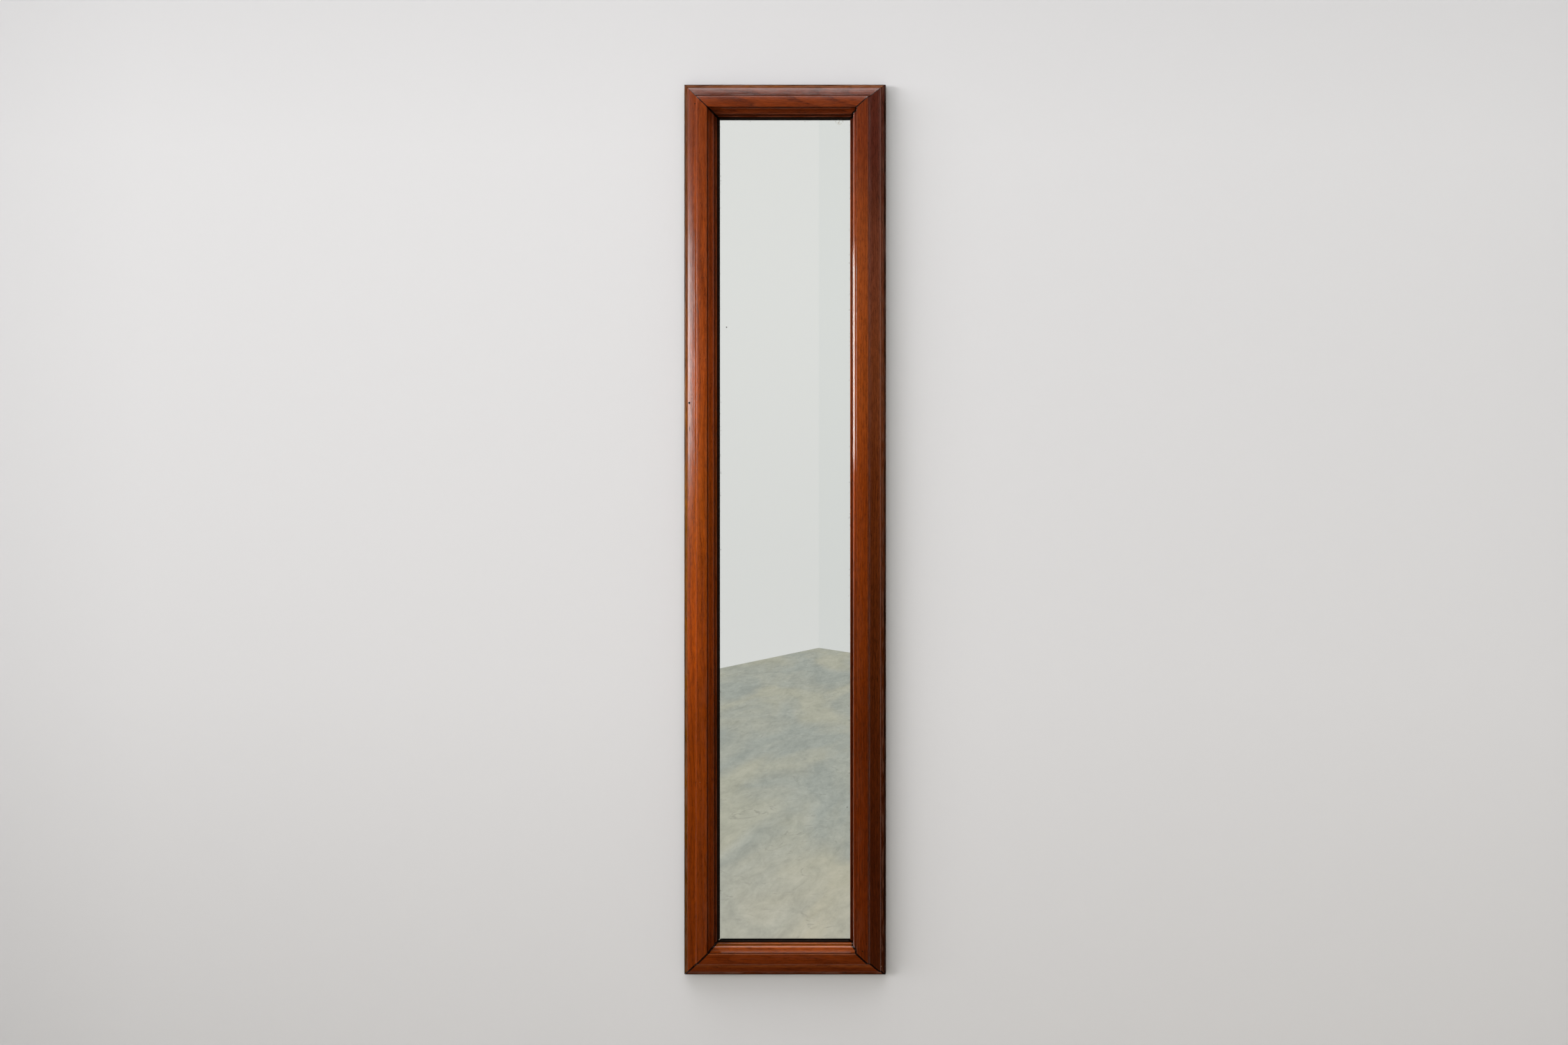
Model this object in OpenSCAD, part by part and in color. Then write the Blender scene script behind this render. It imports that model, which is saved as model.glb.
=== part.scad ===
// Tall narrow mirror in a mitred oak moulding, hung flat on a wall by two keyhole plates.
// X runs to the right, Y runs back into the wall and Z runs up. The frame's back is the plane y = 0.
// The origin lies on that plane, midway between the round entries of the two keyholes.

/* [Frame] */
// Overall width of the frame
frame_w = 339; // [300:1:420]
// Overall height of the frame
frame_h = 1500; // [1200:10:1800]
// Gap left by each mitre that has opened at the bottom rail, square to the mitre
bottom_mitre_gap = 0.8; // [0:0.1:1.2]

/* [Moulding section] */
// Width of the moulding from its outer edge to the sight edge
moulding_w = 59; // [57:0.5:66]
// Thickness of the moulding from the wall to its highest arris
moulding_t = 33; // [31:0.5:37]
// Height of the plain outer side above the wall
edge_h = 11; // [10:0.25:13]
// Radius that rounds the outer arris over
edge_r = 3.5; // [2.5:0.25:4]
// Distance from the outer edge to the foot of the sweep, past the narrow flat fillet
fillet_w = 5.8; // [5:0.1:6.5]
// Width of the steep rise from the fillet to the sweep
rise_w = 1.7; // [1:0.1:2.5]
// Height of the steep rise from the fillet to the sweep
rise_h = 4.5; // [3.5:0.25:5]
// Width of the rounded sweep above the steep rise
sweep_w = 12.3; // [11.5:0.1:13]
// Rise of the rounded sweep
sweep_rise = 5.5; // [5:0.1:6]
// Radius of the rounded sweep
sweep_r = 50; // [40:1:60]
// Width of the cove that climbs from the gentle slope to the flat
cove_w = 6.6; // [5:0.1:7]
// Radius of the cove
cove_r = 10; // [9:0.25:14]
// Fall of the flat from the inner arris to the cove
flat_fall = 3; // [1:0.25:4]
// Width of the quirk between the flat and the steep face
quirk_w = 0.8; // [0.5:0.1:1.5]
// Depth of the quirk below the inner arris
quirk_d = 3; // [1.5:0.25:4]
// Width of the steep face between the quirk and the roll
face_w = 1.4; // [0.8:0.1:2]
// Radius of the roll
roll_r = 4.6; // [4.2:0.1:5]
// Distance of the roll's centre from the sight edge
roll_in = 10.4; // [10.2:0.1:11]
// Height of the roll's centre above the lip
roll_up = 5.5; // [5:0.1:6]
// Distance that the roll stands out over the quirk beside the bead
roll_over = 0.15; // [0.1:0.05:0.4]
// Radius of the sight bead
bead_r = 2; // [1.7:0.1:2.2]
// Distance of the sight bead's centre from the sight edge
bead_in = 3.8; // [3.2:0.1:3.9]
// Height of the sight bead's centre above the lip
bead_up = 0.5; // [0.3:0.1:1]
// Thickness of the lip between the rebate and the bead
lip_t = 1.8; // [1.8:0.1:2.6]
// Width of the rebate behind the lip
rebate_w = 8; // [7:0.25:9]
// Depth of the rebate from the back
rebate_d = 10.5; // [10:0.25:11.5]

/* [Corner joints] */
// Length of each loose tongue along its mitre
spline_l = 34; // [26:1:36]
// Width of each loose tongue across its mitre
spline_w = 22; // [16:1:23]
// Thickness of each loose tongue
spline_t = 4; // [3:0.5:5]
// Wood left between the rebate and the groove of the loose tongue
spline_cover = 1; // [0.5:0.25:1.5]
// Distance of the tongue's middle from either outer edge of the corner
spline_in = 30; // [28:0.5:31]
// Clearance of the tongue in its groove, on each side
spline_fit = 0.1; // [0.05:0.05:0.2]
// Length of a corner pin
corner_pin_l = 45; // [38:1:46]
// Radius of a corner pin
corner_pin_r = 0.9; // [0.7:0.1:1.2]
// Radius of a corner pin's head
corner_head_r = 1.3; // [1.2:0.1:1.8]
// Thickness of a corner pin's head
corner_head_t = 1.2; // [0.8:0.1:2]
// Depth of a corner pin's head below the outer side
corner_pin_set = 0.5; // [0.2:0.1:1.5]
// Height of the corner pins above the wall
corner_pin_h = 5; // [4:0.25:6]
// Distance of the first corner pin from the end of the frame
corner_pin_first = 12; // [9:0.5:15]
// Distance between the two pins of one corner
corner_pin_gap = 16; // [10:0.5:18]

/* [Mirror and back] */
// Thickness of the mirror glass
glass_t = 4; // [3:0.5:5]
// Gap between the glass and the rebate that the blocks and packers fill
glass_gap = 2; // [1.5:0.25:3]
// Thickness of the backing board
board_t = 3; // [2:0.5:3.5]
// Gap between the backing board and the rebate
board_gap = 1; // [0.5:0.25:2]
// Length of the setting blocks and packers
block_l = 30; // [20:1:50]
// Distance of the setting blocks and top packers from the middle of the frame
block_x = 60; // [40:1:70]
// Distance of the highest and lowest side packers from the middle of the frame's height
packer_z = 450; // [300:10:520]
// Clearance of a packer in its gap
packer_fit = 0.1; // [0.05:0.05:0.2]

/* [Backing pins] */
// Length of a backing pin
pin_l = 16; // [14:0.5:18]
// Depth that a backing pin is driven into the wood
pin_in = 9; // [8:0.5:10]
// Radius of a backing pin
pin_r = 0.7; // [0.5:0.05:0.9]
// Radius of a backing pin's head
pin_head_r = 1.3; // [1.1:0.1:1.5]
// Thickness of a backing pin's head
pin_head_t = 0.5; // [0.3:0.1:0.8]
// Number of backing pins along each stile
pins_per_stile = 9; // [5:1:12]
// Distance of the first and last backing pin of a stile from the ends of the frame
pin_end = 110; // [90:5:160]
// Distance of the rails' backing pins from the middle of the frame
pin_x = 70; // [30:1:80]
// Clearance of every pin and screw in its pilot hole
pin_fit = 0.03; // [0.02:0.01:0.08]

/* [Keyhole plates] */
// Distance of the keyholes' entries below the top of the frame
hang_drop = 120; // [90:5:300]
// Distance of the keyholes from the outer side of the frame
hang_in = 25; // [22:0.5:28]
// Width of a keyhole plate
plate_w = 16; // [15:0.5:20]
// Length of a keyhole plate
plate_l = 44; // [42:1:52]
// Thickness of a keyhole plate
plate_t = 2; // [1.5:0.25:2.5]
// Clearance of a plate in its recess, all round
plate_fit = 0.1; // [0.05:0.05:0.3]
// Distance of a plate's middle above its keyhole's entry
plate_up = 4; // [3:0.5:5]
// Radius of a keyhole's round entry
entry_r = 5; // [4.5:0.1:5.5]
// Half width of a keyhole's slot
slot_r = 2.5; // [2.2:0.1:3]
// Rise from the entry to the seat at the top of the slot
slot_rise = 10; // [8:0.5:11]
// Width of wood cleared beyond the keyhole for the head of the wall screw
pocket_margin = 1; // [0.5:0.1:1.5]
// Depth of the screw head's pocket behind a plate
pocket_d = 7; // [6:0.25:8]
// Distance of each plate screw from the middle of its plate
screw_z = 17; // [16.5:0.25:18]
// Radius of a plate screw's shank
screw_r = 1.5; // [1.2:0.1:1.7]
// Radius of a plate screw's countersunk head
screw_head_r = 3; // [2.6:0.1:3.2]
// Length of a plate screw
screw_l = 14; // [10:0.5:18]
// Depth of a plate screw's head below the plate's face
screw_set = 0.05; // [0.02:0.01:0.2]
// Width of the slot in a plate screw's head
drive_w = 0.8; // [0.6:0.1:1]
// Depth of the slot in a plate screw's head
drive_d = 0.7; // [0.5:0.1:0.9]

/* [Hidden] */
$fn = 64;

// Faces of cutting solids stand this far past the faces that they cut
over = 1;

// Limits of the frame and of the space inside its rebate
z_top = hang_drop;
z_bottom = hang_drop - frame_h;
z_middle = (z_top + z_bottom) / 2;
x_outer = frame_w / 2;
rebate_u = moulding_w - rebate_w;
x_rebate = x_outer - rebate_u;
z_rebate_top = z_top - rebate_u;
z_rebate_bottom = z_bottom + rebate_u;

// Heights above the wall of the glass, the board and the backing pins
glass_back = rebate_d - glass_t;
board_back = glass_back - board_t;
backing_pin_h = board_back - pin_head_r - pin_fit;

// Corners of the section, as distance in from the outer edge and height above the wall
lip_h = rebate_d + lip_t;
sweep_foot = [fillet_w + rise_w, edge_h + rise_h];
sweep_head = sweep_foot + [sweep_w, sweep_rise];
outer_arris = [sweep_head.x + cove_w, moulding_t - flat_fall];
roll_centre = [moulding_w - roll_in, lip_h + roll_up];
bead_centre = [moulding_w - bead_in, lip_h + bead_up];
face_foot = roll_centre + roll_r * [-sin(20), cos(20)] * 0.95;
face_head = [face_foot.x - face_w, moulding_t - quirk_d];
inner_arris = [face_head.x - quirk_w, moulding_t];
bead_quirk_x = roll_centre.x + roll_r - roll_over;

// Tongue grooves run just in front of the rebate
spline_h = rebate_d + spline_cover + spline_t / 2;

// Heights of the pins that are driven in along a stile
pin_step = (frame_h - 2 * pin_end) / (pins_per_stile - 1);
stile_pin_z = [for (i = [0 : pins_per_stile - 1]) z_bottom + pin_end + i * pin_step];

// Places of the keyhole plates and of their screws
x_hang = x_outer - hang_in;
screw_places = [for (side = [-1, 1], end = [-1, 1]) [side * x_hang, plate_up + end * screw_z]];

// Centre of the circle of radius r through p and q, on the right hand going from p to q
function centre_right(p, q, r) =
    let (chord = q - p, half = norm(chord) / 2, back = sqrt(r * r - half * half))
    (p + q) / 2 + back * [chord.y, -chord.x] / norm(chord);

// The part of a circle through p and q that lies in the box that has them as its corners
module bulge(p, q, r) {
    intersection() {
        translate(centre_right(p, q, r)) circle(r);
        translate([min(p.x, q.x), min(p.y, q.y)])
            square([abs(q.x - p.x), abs(q.y - p.y)]);
    }
}

// Section of the moulding with straight chords in place of its round stretches.
// The wall runs along the X axis and the front is up the Y axis.
module section_core() {
    polygon([
        [0, 0], [0, edge_h - edge_r], [edge_r, edge_h], [fillet_w, edge_h], sweep_foot,
        sweep_head, outer_arris, inner_arris, [inner_arris.x, face_head.y],
        face_head, face_foot, roll_centre, [bead_quirk_x, roll_centre.y],
        [bead_quirk_x, lip_h], [moulding_w, lip_h], [moulding_w, rebate_d],
        [rebate_u, rebate_d], [rebate_u, 0]
    ]);
}

// A straight length of moulding that rises from z = 0, with its outer edge on x = 0
module moulding_bar(length) {
    mirror([0, 1, 0])
    difference() {
        union() {
            linear_extrude(length) section_core();
            linear_extrude(length) bulge([0, edge_h - edge_r], [edge_r, edge_h], edge_r);
            linear_extrude(length) bulge(sweep_foot, sweep_head, sweep_r);
            translate(roll_centre) cylinder(h = length, r = roll_r);
            translate(bead_centre) cylinder(h = length, r = bead_r);
        }
        translate([0, 0, -over])
            linear_extrude(length + 2 * over) bulge(outer_arris, sweep_head, cove_r);
    }
}

// An outline in X and Z, cut through the whole thickness of the frame
module through_frame(outline) {
    translate([0, over, 0])
        rotate([90, 0, 0]) linear_extrude(moulding_t + 2 * over) polygon(outline);
}

// Plan of a stile on the left, or of the top rail, between its two mitres
mitre_reach = moulding_w + over;
stile_plan = [
    [-x_outer, z_bottom], [-x_outer, z_top],
    [-x_outer + mitre_reach, z_top - mitre_reach], [-x_outer + mitre_reach, z_bottom + mitre_reach]
];
top_rail_plan = [
    [-x_outer, z_top], [x_outer, z_top],
    [x_outer - mitre_reach, z_top - mitre_reach], [-x_outer + mitre_reach, z_top - mitre_reach]
];
bottom_end_x = x_outer - bottom_mitre_gap * sqrt(2);
bottom_rail_plan = [
    [-bottom_end_x, z_bottom], [bottom_end_x, z_bottom],
    [bottom_end_x - mitre_reach, z_bottom + mitre_reach],
    [-bottom_end_x + mitre_reach, z_bottom + mitre_reach]
];

// A loose tongue across one mitre, grown by a clearance for its groove; side and end are -1 or 1
module spline_block(side, end, fit = 0) {
    corner_z = end > 0 ? z_top : z_bottom;
    translate([side * (x_outer - spline_in), -spline_h, corner_z - end * spline_in])
        rotate([0, -side * end * 45, 0])
            cube([spline_l + 2 * fit, spline_t + 2 * fit, spline_w + 2 * fit], center = true);
}

// A nail-like pin whose head starts at a point of the X axis and whose shank runs on to the right
module headed_pin(length, shank_r, head_r, head_t, fit = 0) {
    rotate([0, 90, 0]) {
        cylinder(h = length + fit, r = shank_r + fit);
        cylinder(h = head_t + fit, r = head_r + fit);
    }
}

// Both pins of every corner, driven through the stiles into the rails
module corner_pin_set(fit = 0) {
    for (side = [0, 1], end = [-1, 1], n = [0, 1])
        mirror([side, 0, 0])
            translate([
                -x_outer + corner_pin_set, -corner_pin_h,
                (end > 0 ? z_top : z_bottom) - end * (corner_pin_first + n * corner_pin_gap)
            ])
                headed_pin(corner_pin_l, corner_pin_r, corner_head_r, corner_head_t, fit);
}

// Open mouths above the heads of the corner pins
module corner_pin_mouths() {
    for (side = [0, 1], end = [-1, 1], n = [0, 1])
        mirror([side, 0, 0])
            translate([
                -x_outer - over, -corner_pin_h,
                (end > 0 ? z_top : z_bottom) - end * (corner_pin_first + n * corner_pin_gap)
            ])
                rotate([0, 90, 0])
                    cylinder(h = over + corner_pin_set + corner_head_t, r = corner_head_r + pin_fit);
}

// One backing pin at the origin, head to the left, driven to the right into the rebate's wall
module backing_pin(fit = 0) {
    translate([pin_in - pin_l, 0, 0]) headed_pin(pin_l, pin_r, pin_head_r, pin_head_t, fit);
}

// All backing pins that stand in the stiles
module stile_pins(fit = 0) {
    for (side = [0, 1], z = stile_pin_z)
        mirror([side, 0, 0]) translate([x_rebate, -backing_pin_h, z]) backing_pin(fit);
}

// All backing pins that stand in the rails
module rail_pins(fit = 0) {
    for (x = [-pin_x, pin_x]) {
        translate([x, -backing_pin_h, z_rebate_top]) rotate([0, -90, 0]) backing_pin(fit);
        translate([x, -backing_pin_h, z_rebate_bottom]) rotate([0, 90, 0]) backing_pin(fit);
    }
}

// A slab with round ends that lies behind the wall plane; low and high are the centres of its ends
module round_slab(r, low, high, depth) {
    rotate([90, 0, 0]) {
        translate([0, low, 0]) cylinder(h = depth, r = r);
        translate([0, high, 0]) cylinder(h = depth, r = r);
        translate([-r, low, 0]) cube([2 * r, high - low, depth]);
    }
}

// Outline of a keyhole plate, grown by a clearance for its recess
module plate_slab(depth, fit = 0) {
    end_r = plate_w / 2;
    round_slab(end_r + fit, plate_up - plate_l / 2 + end_r, plate_up + plate_l / 2 - end_r, depth);
}

// A countersunk screw with its head on the plate's face, grown by a clearance for its holes
module plate_screw(fit = 0) {
    head_l = screw_head_r - screw_r;
    rotate([90, 0, 0]) {
        translate([0, 0, screw_set]) {
            cylinder(h = screw_l - screw_set, r = screw_r + fit);
            cylinder(h = head_l, r1 = screw_head_r + fit, r2 = screw_r + fit);
        }
        if (fit > 0)
            translate([0, 0, -over]) cylinder(h = over + screw_set, r = screw_head_r + fit);
    }
}

// All plate screws, or their holes
module screw_set(fit = 0) {
    for (place = screw_places) translate([place.x, 0, place.y]) plate_screw(fit);
}

// Recess, screw head pocket and pilot holes of the keyhole plates
module keyhole_cuts() {
    for (side = [-1, 1])
        translate([side * x_hang, 0, 0]) {
            translate([0, over, 0]) plate_slab(plate_t + over, plate_fit);
            round_slab(entry_r + pocket_margin, 0, slot_rise, plate_t + pocket_d);
        }
    screw_set(pin_fit);
}

// Stile on the left, before it is mirrored for the right
module stile() {
    color("sienna")
    difference() {
        intersection() {
            translate([-x_outer, 0, z_bottom]) moulding_bar(frame_h);
            through_frame(stile_plan);
        }
        spline_block(-1, 1, spline_fit);
        spline_block(-1, -1, spline_fit);
        corner_pin_set(pin_fit);
        corner_pin_mouths();
        stile_pins(pin_fit);
        keyhole_cuts();
    }
}

module left_stile() { stile(); }
module right_stile() { mirror([1, 0, 0]) stile(); }

module top_rail() {
    color("sienna")
    difference() {
        intersection() {
            translate([-x_outer, 0, z_top]) rotate([0, 90, 0]) moulding_bar(frame_w);
            through_frame(top_rail_plan);
        }
        spline_block(-1, 1, spline_fit);
        spline_block(1, 1, spline_fit);
        corner_pin_set(pin_fit);
        rail_pins(pin_fit);
    }
}

module bottom_rail() {
    color("sienna")
    difference() {
        intersection() {
            translate([x_outer, 0, z_bottom]) rotate([0, -90, 0]) moulding_bar(frame_w);
            through_frame(bottom_rail_plan);
        }
        spline_block(-1, -1, spline_fit);
        spline_block(1, -1, spline_fit);
        corner_pin_set(pin_fit);
        rail_pins(pin_fit);
    }
}

module top_left_spline() { color("burlywood") tongue(-1, 1); }
module top_right_spline() { color("burlywood") tongue(1, 1); }
module bottom_left_spline() { color("burlywood") tongue(-1, -1); }
module bottom_right_spline() { color("burlywood") tongue(1, -1); }

// A loose tongue in its groove
module tongue(side, end) { spline_block(side, end); }

module corner_pins() { color("gray") corner_pin_set(); }

module mirror_glass() {
    color("lightsteelblue")
    translate([-x_rebate + glass_gap, -rebate_d, z_rebate_bottom + glass_gap])
        cube([
            2 * (x_rebate - glass_gap), glass_t,
            z_rebate_top - z_rebate_bottom - 2 * glass_gap
        ]);
}

module backing_board() {
    color("peru")
    translate([-x_rebate + board_gap, -glass_back, z_rebate_bottom + board_gap])
        cube([
            2 * (x_rebate - board_gap), board_t,
            z_rebate_top - z_rebate_bottom - 2 * board_gap
        ]);
}

module setting_blocks() {
    color("dimgray")
    for (side = [-1, 1])
        translate([side * block_x - block_l / 2, -rebate_d, z_rebate_bottom])
            cube([block_l, glass_t, glass_gap]);
}

module side_packers() {
    color("tan")
    for (side = [0, 1], z = [z_middle - packer_z, z_middle, z_middle + packer_z])
        mirror([side, 0, 0])
            translate([x_rebate - glass_gap + packer_fit, -rebate_d, z - block_l / 2])
                cube([glass_gap - packer_fit, glass_t, block_l]);
}

module top_packers() {
    color("tan")
    for (side = [-1, 1])
        translate([side * block_x - block_l / 2, -rebate_d, z_rebate_top - glass_gap + packer_fit])
            cube([block_l, glass_t, glass_gap - packer_fit]);
}

module backing_pins() {
    color("gray") {
        stile_pins();
        rail_pins();
    }
}

// A keyhole plate, let in flush with the frame's back
module keyhole_plate(side) {
    color("silver")
    difference() {
        translate([side * x_hang, 0, 0]) plate_slab(plate_t);
        translate([side * x_hang, over, 0]) {
            rotate([90, 0, 0]) cylinder(h = plate_t + 2 * over, r = entry_r);
            round_slab(slot_r, 0, slot_rise, plate_t + 2 * over);
        }
        screw_set(pin_fit);
    }
}

module left_keyhole_plate() { keyhole_plate(-1); }
module right_keyhole_plate() { keyhole_plate(1); }

module plate_screws() {
    color("silver")
    difference() {
        screw_set();
        for (place = screw_places)
            translate([place.x, (over - drive_d) / 2 - screw_set, place.y])
                cube([2 * screw_head_r + over, drive_d + over, drive_w], center = true);
    }
}

left_stile();
right_stile();
top_rail();
bottom_rail();
top_left_spline();
top_right_spline();
bottom_left_spline();
bottom_right_spline();
corner_pins();
mirror_glass();
backing_board();
setting_blocks();
side_packers();
top_packers();
backing_pins();
left_keyhole_plate();
right_keyhole_plate();
plate_screws();
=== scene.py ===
# A tall narrow mirror: silvered glass in a mitred moulding of stained oak, hung flat on a wall.
import math

import bmesh
import bpy
from mathutils import Matrix, Vector, noise


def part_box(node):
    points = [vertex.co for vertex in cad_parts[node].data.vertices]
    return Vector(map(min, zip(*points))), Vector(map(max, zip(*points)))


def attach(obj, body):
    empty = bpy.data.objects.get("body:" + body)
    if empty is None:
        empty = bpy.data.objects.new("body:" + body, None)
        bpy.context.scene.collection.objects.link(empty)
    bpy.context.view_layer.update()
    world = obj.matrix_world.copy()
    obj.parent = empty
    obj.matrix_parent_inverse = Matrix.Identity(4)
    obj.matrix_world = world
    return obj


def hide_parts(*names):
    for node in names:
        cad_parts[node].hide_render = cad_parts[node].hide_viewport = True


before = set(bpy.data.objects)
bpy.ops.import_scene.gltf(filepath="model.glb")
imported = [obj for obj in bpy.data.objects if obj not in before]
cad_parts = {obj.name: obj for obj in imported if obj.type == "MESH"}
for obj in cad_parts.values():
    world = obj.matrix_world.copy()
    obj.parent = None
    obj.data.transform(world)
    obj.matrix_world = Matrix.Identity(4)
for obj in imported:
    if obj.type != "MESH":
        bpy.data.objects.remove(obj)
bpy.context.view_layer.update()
scene = bpy.context.scene
scene.view_settings.view_transform = "Standard"

# Camera: it stands right of the mirror and a little above half its height, square to the wall.
# The lens is shifted left and down, as on a view camera, so that the frame stays upright.
photo_w = 2250
lens_px = 1645.0
camera_data = bpy.data.cameras.new("camera")
camera_data.sensor_width = 36.0
camera_data.lens = 36.0 * lens_px / photo_w
camera_data.shift_x = -340.9 / photo_w
camera_data.shift_y = -89.6 / photo_w
camera_data.clip_end = 60.0
camera = bpy.data.objects.new("camera", camera_data)
camera.location = (0.3988, -1.94, -0.5129)
camera.rotation_euler = (math.radians(90), 0, 0)
scene.collection.objects.link(camera)
scene.camera = camera

# Mouldings: four lengths of oak run with the same section, mitred at the corners.
# The section rises from the outer side over a sweep and a cove to a broad flat, and falls
# past a quirk and a roll to the small bead along the glass.
mm = 0.001
stile_lo, stile_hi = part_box("left_stile")
frame_left = stile_lo.x
frame_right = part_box("right_stile")[1].x
frame_bottom = stile_lo.z
frame_top = stile_hi.z
frame_w = frame_right - frame_left
frame_h = frame_top - frame_bottom
bottom_gap = 0.8 * mm * math.sqrt(2)

side_top = (0.0, 7.5)
edge_centre = (3.5, 7.5)
edge_top = (3.5, 11.0)
fillet_end = (5.8, 11.0)
sweep_foot = (7.5, 15.5)
sweep_head = (19.8, 21.0)
outer_arris = (26.4, 30.0)
inner_arris = (44.9, 33.0)
quirk_bottom = (44.9, 30.0)
face_head = (45.7, 30.0)
roll_start = (47.07, 22.14)
roll_centre = (48.6, 17.8)
roll_end = (53.05, 16.63)
bead_quirk = (53.05, 12.3)
bead_start = (53.264, 12.3)
bead_centre = (55.2, 12.8)
bead_end = (57.136, 12.3)
sight_front = (59.0, 12.3)
sight_back = (59.0, 10.5)
rebate_corner = (51.0, 10.5)
rebate_back = (51.0, 0.0)


def as_object(bm, name):
    """Turns a bmesh into an object of the scene."""
    mesh = bpy.data.meshes.new(name)
    bm.to_mesh(mesh)
    bm.free()
    made = bpy.data.objects.new(name, mesh)
    scene.collection.objects.link(made)
    return made


def right_centre(start, end, radius):
    """Centre of an arc from start to end, on the right hand of the way."""
    a = Vector(start)
    b = Vector(end)
    chord = b - a
    back = math.sqrt(radius**2 - (chord.length / 2) ** 2)
    return tuple((a + b) / 2 + back * Vector((chord.y, -chord.x)).normalized())


def line_to(bm, tip, end):
    """Draws the outline straight on to a point, in millimetres."""
    made = bmesh.ops.extrude_vert_indiv(bm, verts=[tip])["verts"][0]
    made.co = Vector((end[0] * mm, end[1] * mm, 0))
    return made


def arc_to(bm, tip, centre, end, steps):
    """Draws the outline round a centre to a point, by turning the tip."""
    c = Vector((centre[0] * mm, centre[1] * mm, 0))
    e = Vector((end[0] * mm, end[1] * mm, 0)) - c
    s = tip.co - c
    turn = math.atan2(s.x * e.y - s.y * e.x, s.x * e.x + s.y * e.y)
    spun = bmesh.ops.spin(
        bm, geom=[tip], cent=c, axis=(0, 0, 1), dvec=(0, 0, 0), angle=turn, steps=steps
    )
    return [g for g in spun["geom_last"] if isinstance(g, bmesh.types.BMVert)][0]


def draw_section(bm):
    """The closed face of the moulding's section, with its outer edge on x = 0 and the wall on y = 0."""
    first = bm.verts.new((0, 0, 0))
    tip = line_to(bm, first, side_top)
    tip = arc_to(bm, tip, edge_centre, edge_top, 10)
    tip = line_to(bm, tip, fillet_end)
    tip = line_to(bm, tip, sweep_foot)
    tip = arc_to(bm, tip, right_centre(sweep_foot, sweep_head, 50.0), sweep_head, 12)
    tip = arc_to(bm, tip, right_centre(outer_arris, sweep_head, 10.0), outer_arris, 12)
    tip = line_to(bm, tip, inner_arris)
    tip = line_to(bm, tip, quirk_bottom)
    tip = line_to(bm, tip, face_head)
    tip = line_to(bm, tip, roll_start)
    tip = arc_to(bm, tip, roll_centre, roll_end, 20)
    tip = line_to(bm, tip, bead_quirk)
    tip = line_to(bm, tip, bead_start)
    tip = arc_to(bm, tip, bead_centre, bead_end, 20)
    tip = line_to(bm, tip, sight_front)
    tip = line_to(bm, tip, sight_back)
    tip = line_to(bm, tip, rebate_corner)
    tip = line_to(bm, tip, rebate_back)
    bmesh.ops.contextual_create(bm, geom=[tip, first])
    return bmesh.ops.contextual_create(bm, geom=bm.edges[:])["faces"][0]


def runs_along(edge):
    """Whether an edge goes from end to end of the bar."""
    return abs(edge.verts[0].co.z - edge.verts[1].co.z) > 0.1


def long_edges(bm, corner, reach=0.02):
    """The edges that run along the moulding at one corner of its section."""
    at = Vector((corner[0] * mm, corner[1] * mm))
    return [
        e
        for e in bm.edges
        if runs_along(e)
        and (e.verts[0].co.xy - at).length < reach * mm
        and (e.verts[1].co.xy - at).length < reach * mm
    ]


def ease(bm, corner, size, segments=3):
    """Rounds one corner of the section, as hands and cloths have worn it."""
    bmesh.ops.bevel(
        bm,
        geom=long_edges(bm, corner),
        offset=size * mm,
        offset_type="OFFSET",
        segments=segments,
        profile=0.5,
        affect="EDGES",
        clamp_overlap=True,
        material=-1,
    )


def cut_end(bm, at, normal):
    """Saws the bar through and closes the cut."""
    cut = bmesh.ops.bisect_plane(
        bm,
        geom=bm.verts[:] + bm.edges[:] + bm.faces[:],
        dist=1e-7,
        plane_co=at,
        plane_no=normal,
        clear_outer=True,
    )
    rim = [g for g in cut["geom_cut"] if isinstance(g, bmesh.types.BMEdge)]
    bmesh.ops.contextual_create(bm, geom=rim)


def crease(bm):
    """Keeps the real corners crisp where the faces are shaded smooth."""
    sharpest = math.radians(33)
    for e in bm.edges:
        e.smooth = len(e.link_faces) == 2 and e.calc_face_angle(0) < sharpest


def plane_by_hand(bm, seed):
    """Leaves the slight waves of a hand plane on the moulded face, but not on the sides."""
    face_low = 10.9 * mm
    face_end = 58 * mm
    for v in bm.verts:
        if v.co.y > face_low and v.co.x < face_end:
            slow = noise.noise(Vector((v.co.x * 60, v.co.y * 60, v.co.z * 7 + seed)))
            fast = noise.noise(Vector((v.co.x * 300, v.co.y * 300, v.co.z * 45 + seed)))
            v.co.y += (0.10 * slow + 0.05 * fast) * mm


division = 0.012


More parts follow.
